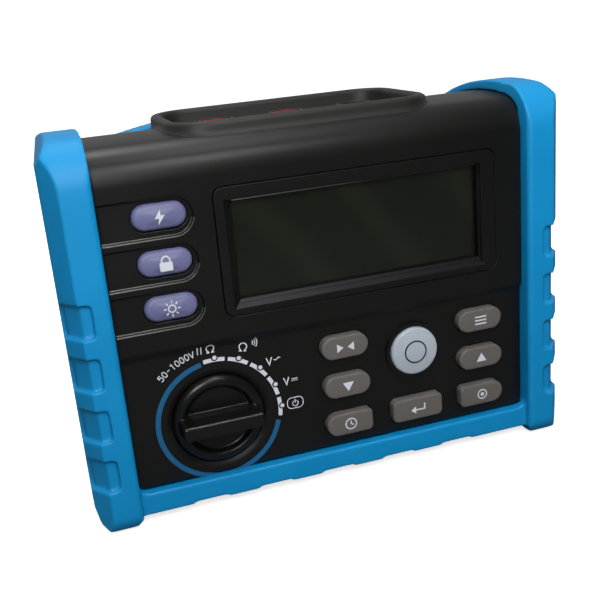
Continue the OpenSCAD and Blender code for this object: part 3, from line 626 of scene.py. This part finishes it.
# printed rings round the dial: a blue arc, then five white segments with a dot each
ARC_R, SEGMENT_R, DOT_R, SIGN_R = 24.25, 24.85, 25.7, 29.6
blue, white = Print(PANEL), Print(PANEL)
dark, dots = Print(PANEL, 0.08), Print(PANEL, 0.1)
blue.arc(DIAL.x, DIAL.z, ARC_R, 101, 346, 2.0, 96)
for first, last, spot in [(79.2, 98.7, 88.3), (57.1, 76.2, 66.5), (34.6, 54, 44.4),
                          (11.9, 31.8, 22), (-9.5, 8.8, 0)]:
    white.arc(DIAL.x, DIAL.z, SEGMENT_R, first, last, 1.6, 12)
    dark.dot(*around(spot, DOT_R), 1.4)
    dots.dot(*around(spot, DOT_R), 0.85)


def omega(marks, x, z, size, width, turn=0):
    bowl = [(px, pz) for px, pz in arc(0, 0.15, 1, -58, 238, 28)]
    path = [(1.05, -1.0), (0.42, -1.0)] + bowl + [(-0.42, -1.0), (-1.05, -1.0)]
    marks.band(moved(path, x, z, size, turn), width)


def letter_v(marks, x, z, size, width, turn=0):
    marks.band(moved([(-0.8, 1.1), (0, -1.1), (0.8, 1.1)], x, z, size, turn), width)


def wave_mark(marks, x, z, size, width, turn=0):
    path = [(t, 0.35 * math.sin(math.pi * t)) for t in [i / 10 - 1 for i in range(21)]]
    marks.band(moved(path, x, z, size, turn), width)


def direct_mark(marks, x, z, size, width, turn=0):
    marks.band(moved([(-1, 0.3), (1, 0.3)], x, z, size, turn), width)
    for k in (-0.75, 0, 0.75):
        marks.band(moved([(k - 0.24, -0.3), (k + 0.24, -0.3)], x, z, size, turn), width)


def figure(marks, sign, x, z, size, width, turn):
    """One sign of the range of test voltages."""
    if sign == "0":
        oval = [(0.62 * px, 1.1 * pz) for px, pz in arc(0, 0, 1, 0, 360, 20)[:-1]]
        marks.band(moved(oval, x, z, size, turn), width, True)
    elif sign == "1":
        marks.band(moved([(-0.45, 0.7), (0.1, 1.1), (0.1, -1.1)], x, z, size, turn), width)
    elif sign == "5":
        path = [(0.55, 1.05), (-0.45, 1.05), (-0.5, 0.2), (-0.05, 0.38), (0.4, 0.22),
                (0.6, -0.3), (0.42, -0.85), (0, -1.08), (-0.6, -0.88)]
        marks.band(moved(path, x, z, size, turn), width)
    elif sign == "-":
        marks.band(moved([(-0.55, 0), (0.55, 0)], x, z, size, turn), width)
    elif sign == "V":
        letter_v(marks, x, z, size, width, turn)


signs = Print(panel_at)
SIGN, STROKE, FINE = 1.35, 0.48, 0.36
# resistance and buzzer
x, z = around(66, 30.3)
omega(signs, x, z, 1.5, 0.45, -10)
for r in (1.3, 2.2, 3.1):
    signs.arc(x + 2.7, z + 1.2, r, -38, 38, 0.38, 8)
# alternating and direct voltage
x, z = around(41.7, 29.7)
letter_v(signs, x, z, SIGN, STROKE)
wave_mark(signs, x + 3.2, z + 0.5, 1.3, 0.38)
x, z = around(19.5, 30.1)
letter_v(signs, x, z, SIGN, STROKE)
direct_mark(signs, x + 3.4, z, 1.3, 0.34)
# off position: the power sign in a rounded box
off_x, off_z = -18.2, 37.1
signs.band(round_rect(off_x, off_z, 6.6, 4.6, 1.8, 6)(0), FINE, True)
signs.arc(off_x, off_z - 0.25, 1.15, 118, 422, FINE, 20)
signs.band([(off_x, off_z - 0.1), (off_x, off_z + 1.5)], FINE)
# insulation: resistance between two plates, with the range of test voltages
x, z = around(91, SIGN_R)
omega(signs, x, z, 1.5, 0.45)
for plate in (x - 3.6, x - 5.0):
    signs.band([(plate, z - 1.6), (plate, z + 1.6)], 0.45)
for k, sign in enumerate("50-1000V"):
    angle = 134 - 4.1 * k
    figure(signs, sign, *around(angle, SIGN_R), 1.15, FINE, angle - 90)


def printed(name, marks, material, body="root", slot="case_black"):
    new_object(name, marks.mesh(name, 30), body, slot, material=material)


printed("dial_arc", blue, PRINT_BLUE)
printed("dial_segments", white, PRINT_WHITE)
printed("dial_dot_rings", dark, PRINT_DARK)
printed("dial_dots", dots, PRINT_WHITE)
printed("dial_signs", signs, PRINT_WHITE)

# ---------- edges with painted highlights ---
# the window's top edge, a thin strip whose light colour is a painted highlight, brightest at its left end
WINDOW_H = 38.2
edge_y = box("display_lens")[0].y - 0.25
edge_z = middle("display_bezel").z + WINDOW_H / 2 - 0.12
edge_left, edge_right = box("display_bezel")[0].x + 7.3, box("display_bezel")[1].x - 7.1
stations = [edge_left + (edge_right - edge_left) * k / 24 for k in range(25)]
edge = Shape().rings([oval((x, edge_y, edge_z), (0, 0.22, 0), (0, 0, 0.16)) for x in stations])
new_object("window_edge", edge.mesh("window_edge", 60), "root", "window_clear", material=WINDOW_PAINTED_HIGHLIGHT)

# glossy beads along the lower lips of the side keys' pockets; their lighter colour is a painted highlight,
# brightest at the left
POCKET_LEFT, POCKET_END, POCKET_DROP = -83.9, -57.4, 0.6
beads = Shape()
for node in SIDE_KEYS:
    z = middle(node).z - POCKET_DROP
    for reach, y, r in [(7.45, DISPLAY + 0.12, 0.3), (6.85, DISPLAY + 1.28, 0.24)]:
        path = [(POCKET_LEFT, z - reach)] + arc(POCKET_END, z, reach, -90, -10, 14)
        rings = []
        for a, b in zip(*offsets(path, r)):
            mid, side = (a + b) / 2, (a - b) / 2
            rings.append(oval((mid.x, y, mid.y), (side.x, 0, side.y), (0, r, 0)))
        beads.rings(rings)
new_object("pocket_beads", beads.mesh("pocket_beads", 60), "root", "case_black", material=POCKET_PAINTED_HIGHLIGHT)

# ---------- signs on the keys ----------


def key_marks(node, draw, material=PRINT_WHITE, sunk=0.0):
    """A pictogram on the key's face, deep enough to reach down to its domed sides."""
    marks = Print(box(node)[0].y + sunk, 0.04, 0.7)
    draw(marks, middle(node).x, middle(node).z)
    printed(node.replace("_key", "_mark"), marks, material, BODY[node], SLOT[node])


def bolt(m, x, z):
    m.fill(moved([(0.5, 3.1), (-2.1, -0.5), (-0.35, -0.5), (-0.8, -3.1), (2.1, 0.75), (0.35, 0.75)], x, z, 0.9))


def padlock(m, x, z):
    m.fill(round_rect(x, z - 1.1, 4.8, 3.4, 0.5, 4)(0))
    m.band([(x - 1.5, z + 0.5)] + arc(x, z + 1.2, 1.5, 180, 0, 12) + [(x + 1.5, z + 0.5)], 0.55)


def lamp(m, x, z):
    m.circle(x, z, 1.35, 0.5)
    for k in range(8):
        c, s = math.cos(math.pi * k / 4), math.sin(math.pi * k / 4)
        m.band([(x + 2.1 * c, z + 2.1 * s), (x + 3.1 * c, z + 3.1 * s)], 0.45)


def lines(m, x, z):
    for k in (-1.5, 0, 1.5):
        m.band([(x - 2.6, z + k), (x + 2.6, z + k)], 0.6)


def up_triangle(m, x, z):
    m.fill([(x - 2.3, z - 1.6), (x + 2.3, z - 1.6), (x, z + 2.2)])


def down_triangle(m, x, z):
    m.fill([(x - 2.3, z + 1.6), (x, z - 2.2), (x + 2.3, z + 1.6)])


def pick(m, x, z):
    m.circle(x, z, 2.0, 0.5)
    m.dot(x, z, 0.85)


def compare(m, x, z):
    m.fill([(x - 3.6, z + 1.8), (x - 3.6, z - 1.8), (x - 0.9, z)])
    m.fill([(x + 3.6, z - 1.8), (x + 3.6, z + 1.8), (x + 0.9, z)])


def clock(m, x, z):
    m.circle(x, z, 2.3, 0.5)
    m.band([(x, z + 1.4), (x, z), (x + 1.1, z - 0.6)], 0.45)


def back_arrow(m, x, z):
    m.band([(x + 2.8, z + 2.0), (x + 2.8, z - 0.5), (x - 1.2, z - 0.5)], 0.6)
    m.fill([(x - 1.2, z + 1.1), (x - 3.4, z - 0.5), (x - 1.2, z - 2.1)])


def start(m, x, z):
    m.circle(x, z, 4.6, 0.6, 48)
    m.fill([(x - 1.6, z + 2.5), (x - 1.6, z - 2.5), (x + 2.6, z)])


PICTOGRAM = {
    "voltage_key": bolt, "hold_key": padlock, "backlight_key": lamp, "memory_key": lines,
    "read_key": up_triangle, "select_key": pick, "compare_key": compare,
    "relative_key": down_triangle, "timer_key": clock, "enter_key": back_arrow,
}
for node, draw in PICTOGRAM.items():
    key_marks(node, draw)
key_marks("measure_key", start, PRINT_DARK, sunk=0.12)

# ---------- everything else keeps its CAD mesh and takes its slot's finish ----------
# The detent ring is the exception: it shows in the gap round the knob, where a pale ring would glint.
for node, obj in frame["nodes"].items():
    obj.data.materials.clear()
    obj.data.materials.append(KNOB_BLACK if node == "detent_ring" else MATERIAL[SLOT[node]])

# ---------- studio ----------
# The floor and the sky are white to look at, but light the tester from above and stay dark in reflections.


def shader_mix(nodes, links, ray, others, chosen):
    """The chosen shader for one kind of ray, and the other shader for the rest."""
    path = nodes.new("ShaderNodeLightPath")
    mix = nodes.new("ShaderNodeMixShader")
    links.new(path.outputs[ray], mix.inputs["Fac"])
    links.new(others, mix.inputs[1])
    links.new(chosen, mix.inputs[2])
    return mix.outputs["Shader"]


def make_floor():
    mesh = bpy.data.meshes.new("floor")
    mesh.from_pydata([(-6, -4, 0), (6, -4, 0), (6, 8, 0), (-6, 8, 0)], [], [(0, 1, 2, 3)])
    floor = bpy.data.objects.new("floor", mesh)
    bpy.context.scene.collection.objects.link(floor)
    pale = plastic("floor_pale", (0.9, 0.9, 0.9), 0.7, 300, 0.02, 0.01, 0.2)
    nodes, links = pale.node_tree.nodes, pale.node_tree.links
    glow = nodes.new("ShaderNodeEmission")
    glow.inputs["Strength"].default_value = 0.72
    lit = nodes.new("ShaderNodeAddShader")
    links.new(glow.outputs["Emission"], lit.inputs[0])
    links.new(nodes["Principled BSDF"].outputs["BSDF"], lit.inputs[1])
    dim = nodes.new("ShaderNodeBsdfDiffuse")
    dim.inputs["Color"].default_value = (0.12, 0.12, 0.12, 1)
    links.new(shader_mix(nodes, links, "Is Camera Ray", dim.outputs["BSDF"], lit.outputs["Shader"]),
              nodes["Material Output"].inputs["Surface"])
    mesh.materials.append(pale)


def make_world():
    world = bpy.data.worlds.new("studio")
    bpy.context.scene.world = world
    world.use_nodes = True
    nodes, links = world.node_tree.nodes, world.node_tree.links

    def sky(strength=1.0):
        node = nodes.new("ShaderNodeBackground")
        node.inputs["Color"].default_value = (1, 1, 1, 1)
        node.inputs["Strength"].default_value = strength
        return node

    def gradient(axis, start, end, low, high):
        """A sky that brightens from low to high as the axis goes from start to end."""
        span = nodes.new("ShaderNodeMapRange")
        for socket, value in zip(("From Min", "From Max", "To Min", "To Max"), (start, end, low, high)):
            span.inputs[socket].default_value = value
        links.new(split.outputs[axis], span.inputs["Value"])
        node = sky()
        links.new(span.outputs["Result"], node.inputs["Strength"])
        return node.outputs["Background"]

    coords = nodes.new("ShaderNodeTexCoord")
    split = nodes.new("ShaderNodeSeparateXYZ")
    links.new(coords.outputs["Generated"], split.inputs["Vector"])
    day = gradient("Z", -0.2, 1, 0.1, 0.6)
    night = gradient("Y", -0.3, 0.7, 0.03, 0.4)
    unseen = shader_mix(nodes, links, "Is Glossy Ray", day, night)
    links.new(shader_mix(nodes, links, "Is Camera Ray", unseen, sky(1.05).outputs["Background"]),
              nodes["World Output"].inputs["Surface"])


def area(name, place, aim, w, h, power, reflected=True, lights=True):
    """A softbox; it can be kept out of reflections, or out of everything but reflections."""
    data = bpy.data.lights.new(name, "AREA")
    data.shape = "RECTANGLE"
    data.size, data.size_y, data.energy = w, h, power
    obj = bpy.data.objects.new(name, data)
    bpy.context.scene.collection.objects.link(obj)
    obj.location = place
    obj.rotation_mode = "QUATERNION"
    obj.rotation_quaternion = (Vector(aim) - Vector(place)).to_track_quat("-Z", "Y")
    obj.visible_glossy = reflected
    obj.visible_diffuse = lights


def make_camera(place, right, ahead, lens):
    data = bpy.data.cameras.new("camera")
    data.lens = lens
    data.sensor_width = 36
    camera = bpy.data.objects.new("camera", data)
    bpy.context.scene.collection.objects.link(camera)
    right, ahead = Vector(right).normalized(), Vector(ahead).normalized()
    right = (right - ahead * right.dot(ahead)).normalized()
    turn = Matrix((right, right.cross(ahead), -ahead)).transposed().to_4x4()
    camera.matrix_world = Matrix.Translation(place) @ turn
    bpy.context.scene.camera = camera


make_floor()
make_world()
area("top_softbox", (-0.06, 0.16, 0.9), (0, 0, 0.08), 0.3, 0.2, 1.6)
area("edge_softbox", (0.1, -0.17, 0.85), (-0.08, -0.04, 0.14), 0.2, 0.1, 0.55)
area("left_softbox", (-0.2, -0.46, 0.3), (-0.05, -0.04, 0.06), 0.14, 0.12, 0.9, lights=False)
area("upper_glint", (0.01, -0.31, 0.41), (-0.09, -0.04, 0.135), 0.1, 0.05, 0.34)
area("rear_fill", (-0.3, 1.1, 0.5), (0, 0, 0.08), 0.9, 0.6, 2.2, reflected=False)
area("side_fill", (1.1, 0.5, 0.4), (0, 0, 0.08), 0.6, 0.6, 1.2, reflected=False)
area("key_light", (-0.04, -0.33, 0.31), (0, -0.04, 0.16), 0.26, 0.16, 1.05, reflected=False)
area("front_fill", (-0.2, -1.0, 0.35), (0, 0, 0.07), 0.8, 0.5, 1.2, reflected=False)
make_camera((-0.1053, -0.3524, 0.1866), (0.947, -0.309, -0.085), (0.269, 0.912, -0.310), 53.27)
bpy.context.scene.view_settings.view_transform = "Standard"
